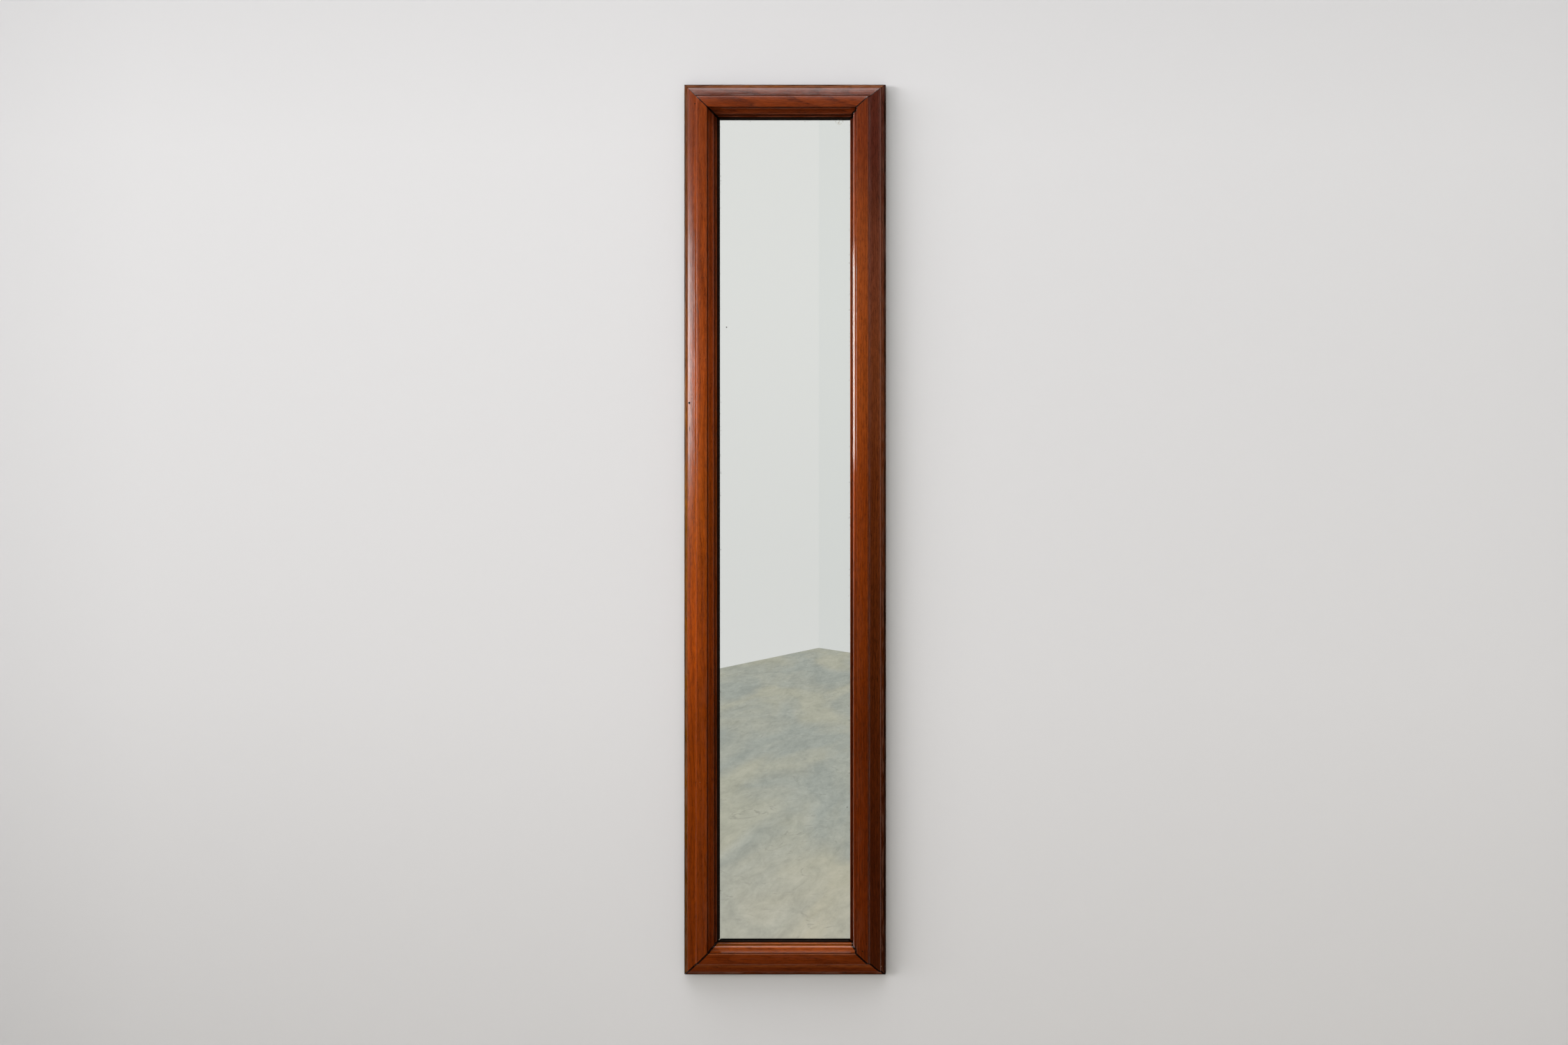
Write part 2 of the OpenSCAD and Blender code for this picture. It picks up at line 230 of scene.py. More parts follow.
def run_moulding(name, length, start_cut, end_cut, place, seed):
    """Runs, mitres and places one length. A cut is (distance from the end, lean of the saw)."""
    bm = bmesh.new()
    face = draw_section(bm)
    bar = bmesh.ops.extrude_face_region(bm, geom=[face])["geom"]
    ends = [g for g in bar if isinstance(g, bmesh.types.BMVert)]
    bmesh.ops.translate(bm, verts=ends, vec=(0, 0, length))
    bmesh.ops.recalc_face_normals(bm, faces=bm.faces[:])
    ease(bm, outer_arris, 0.7)
    ease(bm, inner_arris, 0.5)
    ease(bm, roll_start, 2.4, 6)
    ease(bm, sweep_head, 1.2, 3)
    ease(bm, sweep_foot, 0.6)
    ease(bm, sight_front, 0.4, 2)
    ease(bm, (0, 0), 0.5, 2)
    along = [e for e in bm.edges if runs_along(e)]
    bmesh.ops.subdivide_edges(
        bm, edges=along, cuts=int(length / division), use_grid_fill=False
    )
    plane_by_hand(bm, seed)
    cut_end(bm, (0, 0, start_cut[0]), Vector((1, 0, -1 - start_cut[1])).normalized())
    cut_end(bm, (0, 0, length - end_cut[0]), Vector((1, 0, 1 + end_cut[1])).normalized())
    run = bm.verts.layers.float_vector.new("run")
    for v in bm.verts:
        v[run] = v.co
    for f in bm.faces:
        f.smooth = True
        f.material_index = 1 if f.calc_center_median().y < 0.1 * mm else 0
    crease(bm)
    bmesh.ops.transform(bm, matrix=place, verts=bm.verts[:])
    bmesh.ops.recalc_face_normals(bm, faces=bm.faces[:])
    return as_object(bm, name)


def placed(across, out, along, corner):
    """Turns the section's axes to the frame's, from one of its corners."""
    m = Matrix((across, out, along)).transposed().to_4x4()
    m.translation = corner
    return m


right = (1, 0, 0)
left = (-1, 0, 0)
front = (0, -1, 0)
up = (0, 0, 1)
down = (0, 0, -1)
left_stile = run_moulding(
    "left_stile_oak", frame_h, (0, 0), (0, 0),
    placed(right, front, up, (frame_left, 0, frame_bottom)), 3.0,
)
right_stile = run_moulding(
    "right_stile_oak", frame_h, (0, 0), (0, 0),
    placed(left, front, up, (frame_right, 0, frame_bottom)), 17.0,
)
top_rail = run_moulding(
    "top_rail_oak", frame_w, (0.0, 0.016), (0.0, 0.02),
    placed(down, front, right, (frame_left, 0, frame_top)), 31.0,
)
bottom_rail = run_moulding(
    "bottom_rail_oak", frame_w, (bottom_gap, 0), (bottom_gap, 0.004),
    placed(up, front, right, (frame_left, 0, frame_bottom)), 47.0,
)


# Recesses in the back of the stiles: radius, lower and upper centre, and depth, in millimetres.
# The keyhole origin is at z = 0, and the pocket lets the wall screw's head slide up.
plate_in = 25 * mm
plate_recess = (8.1, -10.0, 18.0, 2.0)
head_pocket = (6.0, 0.0, 10.0, 9.0)
pin_rows = (frame_bottom + 12 * mm, frame_bottom + 28 * mm, frame_top - 28 * mm, frame_top - 12 * mm)
pin_y = -5 * mm
mouth_r = 1.33 * mm
mouth_depth = 2.7 * mm
mouth_in = 0.35 * mm


def recess_cutter(side_x):
    """The recess of one keyhole plate with the deeper pocket for the wall screw's head."""
    bm = bmesh.new()
    for radius, low, high, depth in (plate_recess, head_pocket):
        ring = bmesh.ops.create_circle(bm, cap_ends=True, radius=radius * mm, segments=48)["verts"]
        for v in ring:
            v.co = Vector((v.co.x, 1 * mm, v.co.y))
            if abs(v.co.z) > 1e-6:
                v.co.z += (high if v.co.z > 0 else low) * mm
            else:
                v.co.z += (high + low) / 2 * mm
            v.co.x += side_x
        cap = list({f for v in ring for f in v.link_faces})
        sunk = bmesh.ops.extrude_face_region(bm, geom=cap)["geom"]
        sunk = [g for g in sunk if isinstance(g, bmesh.types.BMVert)]
        bmesh.ops.translate(bm, verts=sunk, vec=(0, -(depth + 1) * mm, 0))
    return bm


def pin_mouths(bm, side_x, inward):
    """The short bores above the heads of the corner pins."""
    turn = Matrix.Rotation(math.radians(90), 4, "Y")
    for z in pin_rows:
        at = Matrix.Translation((side_x + inward * mouth_in, pin_y, z))
        bmesh.ops.create_cone(
            bm, cap_ends=True, segments=20, radius1=mouth_r, radius2=mouth_r,
            depth=mouth_depth, matrix=at @ turn,
        )


def carve(piece, bm):
    """Cuts the shapes of a bmesh out of a piece, and leaves bare wood in the cuts."""
    bmesh.ops.recalc_face_normals(bm, faces=bm.faces[:])
    for f in bm.faces:
        f.material_index = 1
    cutter = as_object(bm, "cutter")
    saw = piece.modifiers.new("Recess", "BOOLEAN")
    saw.operation = "DIFFERENCE"
    saw.solver = "EXACT"
    saw.use_self = True
    saw.object = cutter
    graph = bpy.context.evaluated_depsgraph_get()
    whole = bpy.data.meshes.new_from_object(piece.evaluated_get(graph))
    piece.modifiers.clear()
    bm = bmesh.new()
    bm.from_mesh(whole)
    crease(bm)
    bm.to_mesh(whole)
    bm.free()
    piece.data = whole
    bpy.data.objects.remove(cutter)


for stile, side_x, inward in ((left_stile, frame_left, 1), (right_stile, frame_right, -1)):
    shapes = recess_cutter(side_x + inward * plate_in)
    pin_mouths(shapes, side_x, inward)
    carve(stile, shapes)


def feed(tree, node, sockets):
    """Links or sets inputs of a node."""
    for key, value in sockets.items():
        if isinstance(value, bpy.types.NodeSocket):
            tree.links.new(value, node.inputs[key])
        else:
            node.inputs[key].default_value = value


def add(tree, kind, sockets=None, **settings):
    """Adds a shader node, sets its properties, and links or sets its inputs."""
    made = tree.nodes.new("ShaderNode" + kind)
    for key, value in settings.items():
        setattr(made, key, value)
    feed(tree, made, sockets or {})
    return made


def calc(tree, operation, a, b=0.0, clamp=False):
    """One step of arithmetic on numbers or sockets."""
    return add(tree, "Math", {0: a, 1: b}, operation=operation, use_clamp=clamp).outputs[0]


def product(tree, a, b, clamp=False):
    """One number times another."""
    return calc(tree, "MULTIPLY", a, b, clamp)


def total(tree, a, b, clamp=False):
    """One number plus another."""
    return calc(tree, "ADD", a, b, clamp)


def larger(tree, a, b):
    """The larger of two numbers."""
    return calc(tree, "MAXIMUM", a, b)


def less(tree, a, b):
    """One number minus another."""
    return calc(tree, "SUBTRACT", a, b)


def share(tree, value, low, high):
    """How far a value has come from low to high, as a part of one."""
    return product(tree, total(tree, value, -low), 1 / (high - low))


def fade(tree, value, low, high):
    """Rises smoothly from 0 to 1 as a value goes from low to high."""
    made = add(
        tree, "MapRange", {"Value": value, "From Min": low, "From Max": high},
        interpolation_type="SMOOTHSTEP",
    )
    return made.outputs["Result"]


def scale(tree, fac, stops, ease_in="LINEAR"):
    """A colour ramp through given stops, each a colour or one number for a grey."""
    made = add(tree, "ValToRGB", {"Fac": fac})
    bar = made.color_ramp
    bar.interpolation = ease_in
    while len(bar.elements) < len(stops):
        bar.elements.new(0.5)
    for element, (at, colour) in zip(bar.elements, stops):
        element.position = at
    for element, (at, colour) in zip(bar.elements, stops):
        element.color = (*colour, 1) if isinstance(colour, tuple) else (colour, colour, colour, 1)
    return made.outputs["Color"]


def blend(tree, fac, a, b, mode="MIX"):
    """Mixes two colours."""
    made = add(tree, "Mix", {"Factor": fac}, data_type="RGBA", blend_type=mode)
    for socket, value in ((made.inputs[6], a), (made.inputs[7], b)):
        if isinstance(value, bpy.types.NodeSocket):
            tree.links.new(value, socket)
        else:
            socket.default_value = (*value, 1)
    return made.outputs[2]


def tinted(tree, colour, by):
    """Multiplies one colour by another."""
    return blend(tree, 1.0, colour, by, "MULTIPLY")


def own_place(tree):
    """Where a point is on its own piece, in metres."""
    return add(tree, "TexCoord").outputs["Object"]


def cloudy_noise(tree, where, waves, detail, **settings):
    """Even noise with so many waves in a metre."""
    sockets = {"Vector": where, "Scale": waves, "Detail": detail}
    for key, value in settings.items():
        sockets[key.capitalize()] = value
    return add(tree, "TexNoise", sockets).outputs["Fac"]


def drawn_noise(tree, where, waves, detail, shift=(0, 0, 0)):
    """Noise with a number of waves in a metre for each axis, drawn out as fibres are."""
    at = add(tree, "Mapping", {"Vector": where, "Scale": waves, "Location": shift}).outputs[0]
    return cloudy_noise(tree, at, 1.0, detail)


def raised(tree, height, strength, distance):
    """A normal bent by a fine relief."""
    made = add(tree, "Bump", {"Height": height, "Strength": strength, "Distance": distance})
    return made.outputs["Normal"]


def away_from(tree, place, at):
    """Distance of a place from a point."""
    made = add(tree, "VectorMath", {0: place, 1: at}, operation="DISTANCE")
    return made.outputs["Value"]


def finish_named(name):
    """A new material with its node tree and shader."""
    made = bpy.data.materials.new(name)
    made.use_nodes = True
    return made, made.node_tree, made.node_tree.nodes["Principled BSDF"]


upright = (0, 0, 0)
lying = (0, math.radians(-90), 0)
section_mm = 60

# Stops across the section, in millimetres from the outer side. In the lanes, red is the black stain on
# the outer side and darkening in the quirks, partly grime and partly painted shade; green is rubbing on
# the arrises, mostly painted highlights; blue is painted shade on the lip along the glass. Dulling is
# how much of the gloss has worn away.
lane_stops = (
    (0.0, (1.0, 0, 0)), (2.6, (0.8, 0, 0)), (3.3, (0.0, 0.9, 0)), (4.4, (0.0, 0.7, 0)),
    (5.3, (0.3, 0.3, 0)), (6.3, (0.2, 0.2, 0)), (7.2, (0.0, 0.3, 0)), (8.0, (0.0, 0.0, 0)),
    (25.8, (0.0, 0.0, 0)), (26.4, (0.0, 0.03, 0)), (27.0, (0.0, 0.0, 0)), (44.0, (0.0, 0.1, 0)),
    (44.75, (0.0, 0.2, 0)), (45.0, (0.85, 0, 0)), (45.6, (0.85, 0, 0)), (45.9, (0.1, 0, 0)),
    (46.8, (0.0, 0, 0)), (52.6, (0.0, 0, 0)), (53.0, (0.65, 0, 0)), (53.25, (0.65, 0, 0)),
    (53.6, (0.1, 0, 0)), (54.9, (0.0, 0.5, 0)), (55.4, (0.0, 0.5, 0)), (56.0, (0.0, 0, 1)),
    (60.0, (0.0, 0, 1)),
)
dulling_stops = (
    (4.8, 0.45), (10.2, 0.55), (12.6, 1.0), (19.2, 1.1), (21.0, 1.4), (25.2, 1.3), (27.0, 0.0)
)


def across(tree, u, stops):
    """A ramp over the section, with its stops in millimetres from the outer side."""
    return scale(tree, u, tuple((at / section_mm, value) for at, value in stops))


def stained_oak(
    name, turn, pith, lean, ring, seed, tone_and_light, depth, joints,
    figure=0.6, lacquer=1.0, polish=0.19, coat_ior=1.5, lip_shade_strength=0.95, marks=(),
):
    """Stained, lacquered oak.

    turn lays the length on Z. pith and lean place the heart of the tree, and ring is a year's
    growth in millimetres. The ramp along the length gives the piece its tone, and on the stiles also
    painted light;
    depth paints light and shade across the section.
    joints gives the width of the dark line at either mitre, and marks the nicks and filled holes.
    """
    mat, tree, shader = finish_named(name)
    place = own_place(tree)
    lay = add(tree, "Mapping", {"Vector": place, "Rotation": turn}).outputs["Vector"]
    run = add(tree, "Attribute", attribute_name="run").outputs["Vector"]
    section = add(tree, "SeparateXYZ", {"Vector": run})
    inward = section.outputs["X"]
    along = section.outputs["Z"]
    length = frame_h if turn == upright else frame_w
    u = product(tree, inward, 1 / (section_mm * mm))

    # Growth rings, warped slowly along the length
    slow = {"Vector": lay, "Scale": (14, 14, 2.2), "Location": (seed, 0, 0)}
    slow = add(tree, "Mapping", slow).outputs[0]
    warp = add(tree, "TexNoise", {"Vector": slow, "Scale": 1.0, "Detail": 2.0}).outputs["Color"]
    sway = add(tree, "VectorMath", {0: warp, 1: (0.5, 0.5, 0.5)}, operation="SUBTRACT").outputs[0]
    sway = add(tree, "VectorMath", {0: sway, "Scale": 22 * mm}, operation="SCALE").outputs[0]
    bent = add(tree, "VectorMath", {0: lay, 1: sway}, operation="ADD").outputs[0]
    axes = add(tree, "SeparateXYZ", {"Vector": bent})
    from_x = less(tree, axes.outputs["X"], pith[0])
    from_x = total(tree, from_x, product(tree, axes.outputs["Z"], lean[0]))
    from_y = less(tree, axes.outputs["Y"], pith[1])
    from_y = total(tree, from_y, product(tree, axes.outputs["Z"], lean[1]))
    squares = total(tree, calc(tree, "POWER", from_x, 2.0), calc(tree, "POWER", from_y, 2.0))
    rings = product(tree, calc(tree, "SQRT", squares), 1 / (ring * mm))
    early = scale(
        tree, calc(tree, "FRACT", rings),
        ((0.0, 0.9), (0.15, 0.7), (0.4, 0.15), (0.85, 0.0), (0.95, 0.1), (1.0, 0.9)),
    )

    # Fibres and open pores, both drawn out along the length
    fibre = drawn_noise(tree, lay, (760, 760, 60), 4.0, (seed, seed, 0))
    vessel = add(tree, "Mapping", {"Vector": bent, "Scale": (1900, 1900, 210)}).outputs[0]
    cell = add(tree, "TexVoronoi", {"Vector": vessel, "Scale": 1.0, "Randomness": 1.0})
    pore = fade(tree, cell.outputs["Distance"], 0.40, 0.14)
    patch = drawn_noise(tree, lay, (210, 210, 48), 2.0)
    gather = product(tree, total(tree, early, 0.3), fade(tree, patch, 0.40, 0.64))
    pores = product(tree, pore, gather, clamp=True)

    # Stain: its tone along the length, which on the stiles also holds painted light, its clouds, its
    # uptake in the earlywood, and painted light and shade across the section
    cloud = drawn_noise(tree, lay, (22, 22, 3.5), 3.0, (0, seed, 0))
    fleck = drawn_noise(tree, bent, (640, 640, 95), 3.0, (0, 0, seed))
    wood = blend(
        tree, product(tree, early, figure), (0.182, 0.0355, 0.0040), (0.105, 0.019, 0.0022)
    )
    wood = tinted(tree, wood, scale(tree, fibre, ((0.3, 0.74), (0.5, 1.0), (0.7, 1.2))))
    wood = tinted(tree, wood, scale(tree, fleck, ((0.36, 0.76), (0.45, 0.98), (0.66, 1.1))))
    wood = tinted(tree, wood, scale(tree, calc(tree, "DIVIDE", along, length), tone_and_light, "EASE"))
    wood = tinted(tree, wood, scale(tree, cloud, ((0.3, 0.8), (0.7, 1.18))))
    # Painted light and shade across the section: highlights and sheen on faces turned to the lamps,
    # shade on those turned away
    wood = tinted(tree, wood, across(tree, u, depth))
    wood = blend(tree, product(tree, pores, 0.95), wood, (0.010, 0.004, 0.002))

    # The black-stained outer side, darkening in the quirks that is partly grime and partly painted
    # shade, painted highlights on the rubbed arrises, and painted shade on the lip along the glass
    smear = drawn_noise(tree, lay, (260, 260, 30), 3.0)
    lanes = add(tree, "SeparateColor", {"Color": across(tree, u, lane_stops)})
    uneven = total(tree, product(tree, smear, 1.2), 0.3)
    grime_and_shade = product(tree, lanes.outputs["Red"], uneven, clamp=True)
    rubbed_and_highlight = product(tree, lanes.outputs["Green"], fade(tree, smear, 0.4, 0.62), clamp=True)
    # Painted shade: the lip along the glass is made near-black
    lip_shade = product(tree, lanes.outputs["Blue"], lip_shade_strength)
    # Painted highlights: pale lines on the arrises and the bead's crest, partly rubbed wear
    wood = blend(tree, product(tree, rubbed_and_highlight, 0.6), wood, (0.30, 0.135, 0.085))
    # Darkening in the quirks and at the foot of the sweep: partly grime, partly painted shade
    wood = blend(tree, product(tree, grime_and_shade, 0.93), wood, (0.0075, 0.0035, 0.002))
    wood = blend(tree, lip_shade, wood, (0.011, 0.0095, 0.0075))
    grime_and_shade = larger(tree, grime_and_shade, lip_shade)

    # Dark glue lines at the mitres, wider where they have opened toward the glass
    from_start = less(tree, along, inward)
    from_end = less(tree, less(tree, length, along), inward)
    for away, widths in zip((from_start, from_end), joints):
        ragged = total(tree, across(tree, u, widths), less(tree, smear, 0.5))
        seam = calc(tree, "LESS_THAN", calc(tree, "ABSOLUTE", away), product(tree, ragged, mm))
        wood = blend(tree, product(tree, seam, 0.92), wood, (0.005, 0.003, 0.002))

    # Nicks and filled holes: each has its place, its size and how far it is drawn out upward
    flat_place = add(tree, "Mapping", {"Vector": place, "Scale": (1, 0, 1)}).outputs["Vector"]
    dents = 0.0
    for x, z, size, drawn, colour in marks:
        away = add(tree, "VectorMath", {0: flat_place, 1: (x, 0, z)}, operation="SUBTRACT").outputs[0]
        away = add(tree, "VectorMath", {0: away, 1: (1, 0, 1 / drawn)}, operation="MULTIPLY").outputs[0]
        away = add(tree, "VectorMath", {0: away}, operation="LENGTH").outputs["Value"]
        away = total(tree, away, product(tree, smear, 2 * mm))
        mark = fade(tree, away, (size + 1.0) * mm, (size * 0.7 + 1.0) * mm)
        wood = blend(tree, mark, wood, colour)
        dents = larger(tree, dents, mark)

    # Lacquer: worn thin outside, gone in grime, dents and pores, and not quite level
    rough = total(tree, product(tree, pores, 0.25), product(tree, cloud, 0.2))
    rough = total(tree, total(tree, rough, 0.30), product(tree, grime_and_shade, 0.25), clamp=True)
    relief = less(tree, product(tree, fibre, 0.35), pores)
    peel = drawn_noise(tree, lay, (900, 900, 420), 2.0)
    skin = total(tree, product(tree, relief, 0.5), product(tree, peel, 0.6))
    worn = drawn_noise(tree, lay, (1300, 1300, 420), 4.0, (seed, 0, seed))
    loss = across(tree, u, dulling_stops)
    loss = product(tree, loss, scale(tree, worn, ((0.36, 0.84), (0.62, 0.48))))
    broken = scale(tree, smear, ((0.36, 1.0), (0.5, 0.93), (0.64, 0.72)))
    loss = product(tree, loss, broken, clamp=True)
    loss = larger(tree, loss, grime_and_shade)
    loss = larger(tree, loss, larger(tree, dents, product(tree, pores, 0.95)))
    feed(tree, shader, {
        "Base Color": wood,
        "Roughness": rough,
        "IOR": 1.45,
        "Specular IOR Level": 0.0,
        "Normal": raised(tree, relief, 0.55, 0.25 * mm),
        "Coat Weight": product(tree, less(tree, 1.0, loss), lacquer),
        "Coat Roughness": polish,
        "Coat IOR": coat_ior,
        "Coat Normal": raised(tree, skin, 0.32, 0.12 * mm),
    })
    return mat


def bare_wood(name, colour, dark, turn, fine=420):
    """Unfinished wood: fibres, broader streaks and dust. fine is how many fibres lie in a metre."""
    mat, tree, shader = finish_named(name)
    lay = add(tree, "Mapping", {"Vector": own_place(tree), "Rotation": turn}).outputs["Vector"]
    fibre = drawn_noise(tree, lay, (fine, fine, 9), 5.0)
    band = drawn_noise(tree, lay, (90, 90, 2), 3.0)
    soil = cloudy_noise(tree, lay, 11.0, 4.0)
    mixed = total(tree, product(tree, fibre, 0.55), product(tree, band, 0.45))
    wood = blend(tree, fade(tree, mixed, 0.36, 0.64), dark, colour)
    wood = blend(tree, 0.5, wood, scale(tree, soil, ((0.3, 0.55), (0.65, 1.1))), "MULTIPLY")
    feed(tree, shader, {
        "Base Color": wood,
        "Roughness": 0.75,
        "Normal": raised(tree, mixed, 0.5, 0.4 * mm),
    })
    return mat


# Colours along each length (from 0 to 1) and across its section (in millimetres), as factors of the
# wood's colour. Along the stiles they are partly the wood's tone and partly painted light; across the
# section they are painted light and shade, highlights and sheen on the lit faces and shade on those
# turned away.
# Painted light along the stiles: brighter and bluer about two thirds of the way up, where the window's
# light and sheen fall; darker towards the foot
left_tone_and_light = (
    (0.0, (0.72, 0.58, 0.2)), (0.11, (0.78, 0.64, 0.15)), (0.25, (0.95, 0.79, 0.15)),
    (0.39, (1.5, 1.28, 0.4)), (0.53, (1.62, 1.55, 0.6)), (0.62, (1.65, 1.52, 0.85)),
    (0.67, (1.75, 1.6, 1.4)), (0.81, (1.2, 1.1, 1.3)), (0.95, (1.05, 0.95, 1.3)),
)
right_tone_and_light = (
    (0.0, (0.6, 0.48, 0.4)), (0.11, (0.65, 0.5, 0.4)), (0.25, (0.76, 0.6, 0.4)),
    (0.39, (1.0, 0.86, 0.6)), (0.53, (1.55, 1.35, 0.95)), (0.67, (1.9, 1.95, 2.1)),
    (0.81, (1.75, 1.9, 3.2)), (0.95, (1.15, 1.05, 2.2)),
)
top_stain = ((0.0, (0.95, 0.85, 1.2)), (0.5, (1.05, 0.95, 1.2)), (1.0, (0.95, 0.85, 1.3)))
bottom_stain = ((0.0, (0.78, 0.65, 0.6)), (0.5, (0.75, 0.62, 0.6)), (1.0, (0.68, 0.58, 0.6)))
plain = (1.0, 1.0, 1.0)
# Painted light on the left stile: a pale reflection on the outer fillet, and the inner slope lightened
# against its shade
left_light_across = (
    (3.0, (1.05, 2.0, 4.5)), (6.3, (1.05, 1.8, 3.6)), (7.6, (0.9, 0.9, 0.95)),
    (24.0, (0.97, 0.97, 1.0)), (27.0, plain), (45.6, plain),
    (46.4, (1.32, 1.25, 1.35)), (53.0, (1.1, 1.03, 1.1)),
)
# Painted shade on the right stile's outer slope, turned away from the window, with a bluish painted
# sheen
right_light_across = (
    (7.0, (0.68, 0.85, 2.0)), (25.8, (0.64, 0.75, 1.8)), (27.5, plain), (53.0, (1.0, 0.95, 1.0))
)
# Painted light on the top rail: a pale reflection on the outer fillet, painted shade with a grey sheen
# on the cove, and painted shade on the downward roll
top_light_across = (
    (3.0, (1.6, 3.0, 6.0)), (6.5, (1.4, 2.4, 4.5)), (8.0, (0.8, 0.85, 1.2)),
    (19.0, (0.65, 0.65, 1.0)), (20.5, (0.45, 0.55, 1.3)), (25.4, (0.45, 0.55, 1.3)),
    (26.6, plain), (53.0, (0.9, 0.8, 0.8)),
)
# Painted light on the bottom rail: highlights on the outer slope by the arris, on the inner arris, the
# roll and the bead, and painted shade on the lip
bottom_light_across = (
    (7.0, (0.9, 0.9, 0.9)), (16.0, (0.95, 1.0, 1.2)), (18.5, (1.5, 2.1, 4.0)),
    (25.5, (1.3, 1.7, 3.0)), (27.0, plain), (43.2, plain), (44.0, (1.6, 2.5, 5.0)),
    (44.8, (1.3, 1.7, 3.0)), (45.6, plain), (46.4, (1.6, 1.8, 1.8)), (48.3, (2.7, 3.5, 4.6)),
    (51.0, (2.0, 2.3, 2.8)), (53.4, (3.1, 4.6, 6.0)), (55.0, (3.1, 4.6, 6.0)),
    (55.7, (0.5, 0.5, 0.5)),
)

# Widths of the dark line along a mitre, both in millimetres
closed_rail = ((0.0, 0.6), (6.0, 0.5), (25.2, 1.1), (43.8, 1.8), (46.2, 2.7), (60.0, 3.4))
parted_rail = ((0.0, 2.2), (25.2, 2.5), (43.8, 2.7), (60.0, 3.1))
closed = (
    (0.0, 0.5), (6.0, 0.3), (25.2, 0.55), (27.0, 0.8), (43.8, 0.9), (46.2, 1.5), (60.0, 2.0)
)
opened = ((0.0, 1.2), (25.2, 1.5), (43.8, 1.6), (46.2, 1.8), (60.0, 2.2))

nick = (0.006, 0.004, 0.003)
putty = (0.20, 0.14, 0.09)
left_marks = (
    (-0.1478, 0.0837, 1.3, 1.0, nick), (-0.1585, -0.417, 2.1, 1.0, nick),
    (-0.1577, -0.460, 0.5, 12.0, nick), (-0.1367, -1.0497, 0.8, 1.0, putty),
)
right_marks = ((0.1338, -1.3309, 1.2, 1.0, nick), (0.1629, -1.3643, 1.0, 1.0, putty))

left_oak = stained_oak(
    "oak_left_stile", upright, (-0.10, 0.055), (0.006, 0.004), 3.1, 2.0,
    left_tone_and_light, left_light_across, (opened, closed), lacquer=0.75, marks=left_marks,
)
right_oak = stained_oak(
    "oak_right_stile", upright, (0.19, 0.05), (-0.008, 0.003), 2.8, 7.0,
    right_tone_and_light, right_light_across, (opened, closed), polish=0.07, coat_ior=1.7, lip_shade_strength=0.12,
    marks=right_marks,
)
top_oak = stained_oak(
    "oak_top_rail", lying, (-0.085, 0.035), (0.0, 0.05), 3.4, 13.0,
    top_stain, top_light_across, (closed_rail, closed_rail), figure=0.95,
)
bottom_oak = stained_oak(
    "oak_bottom_rail", lying, (1.33, 0.06), (0.01, 0.01), 2.9, 19.0,
    bottom_stain, bottom_light_across, (parted_rail, parted_rail), polish=0.09,
)
rail_bare = bare_wood("bare_oak_rail", (0.42, 0.26, 0.14), (0.20, 0.11, 0.055), lying)
stile_bare = bare_wood("bare_oak_stile", (0.42, 0.26, 0.14), (0.20, 0.11, 0.055), upright)
for piece, node, oak, bare in (
    (left_stile, "left_stile", left_oak, stile_bare),
    (right_stile, "right_stile", right_oak, stile_bare),
    (top_rail, "top_rail", top_oak, rail_bare),
    (bottom_rail, "bottom_rail", bottom_oak, rail_bare),
):
    finishes = piece.data.materials
    while len(finishes) < 2:
        finishes.append(None)
    finishes[0] = oak
    finishes[1] = bare
    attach(piece, "root")
    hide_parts(node)


def sheet_between(lo, hi, segments):
    """A flat sheet with lightly broken edges, between two corners."""
    bm = bmesh.new()
    bmesh.ops.create_cube(bm, size=1.0)
    bmesh.ops.scale(bm, verts=bm.verts[:], vec=hi - lo)
    bmesh.ops.translate(bm, verts=bm.verts[:], vec=(lo + hi) / 2)
    bmesh.ops.bevel(
        bm, geom=bm.edges[:], offset=0.4 * mm, offset_type="OFFSET", segments=segments,
        profile=0.5, affect="EDGES", material=-1,
    )
    bmesh.ops.recalc_face_normals(bm, faces=bm.faces[:])
    return bm


# Mirror: one sheet of 4 mm float glass with ground edges, silvered on its back.
# The silver has gone brown in small spots near the edges, most of all at the top right.
glass_lo, glass_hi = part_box("mirror_glass")
clearance = Vector((0, 0.05 * mm, 0))
bm = sheet_between(glass_lo + clearance, glass_hi - clearance, 1)
for f in bm.faces:
    f.material_index = 1 if f.normal.y > 0.9 else 0
pane = as_object(bm, "mirror_pane")

clear, tree, shader = finish_named("float_glass")
haze = cloudy_noise(tree, own_place(tree), 9.0, 3.0)
feed(tree, shader, {
    "Base Color": (0.98, 0.988, 0.98, 1),
    "Roughness": product(tree, fade(tree, haze, 0.55, 0.8), 0.012),
    "IOR": 1.52,
    "Transmission Weight": 1.0,
})

silver, tree, shader = finish_named("silver_coat")
place = own_place(tree)
axes = add(tree, "SeparateXYZ", {"Vector": place})
pane_middle = (glass_lo + glass_hi) / 2
pane_half = (glass_hi - glass_lo) / 2
from_middle = calc(tree, "ABSOLUTE", less(tree, axes.outputs["Z"], pane_middle.z))
from_end = less(tree, pane_half.z, from_middle)
from_side = less(tree, pane_half.x, calc(tree, "ABSOLUTE", axes.outputs["X"]))
from_edge = calc(tree, "MINIMUM", from_side, from_end)
spots = cloudy_noise(tree, place, 420.0, 3.0)
worn = product(
    tree, fade(tree, from_edge, 10.5 * mm, 8.5 * mm), fade(tree, spots, 0.66, 0.72)
)
silver_y = glass_hi.y
for x, z, size in ((-0.0985, -0.289, 1.3), (0.105, -1.098, 0.9)):
    away = away_from(tree, place, (x, silver_y, z))
    worn = larger(tree, worn, fade(tree, away, size * mm, size * 0.5 * mm))
away = away_from(tree, place, (0.0915, silver_y, 0.0592))
browned = product(tree, fade(tree, away, 8.5 * mm, 2 * mm), fade(tree, spots, 0.47, 0.60))
browned = product(tree, browned, 0.6)
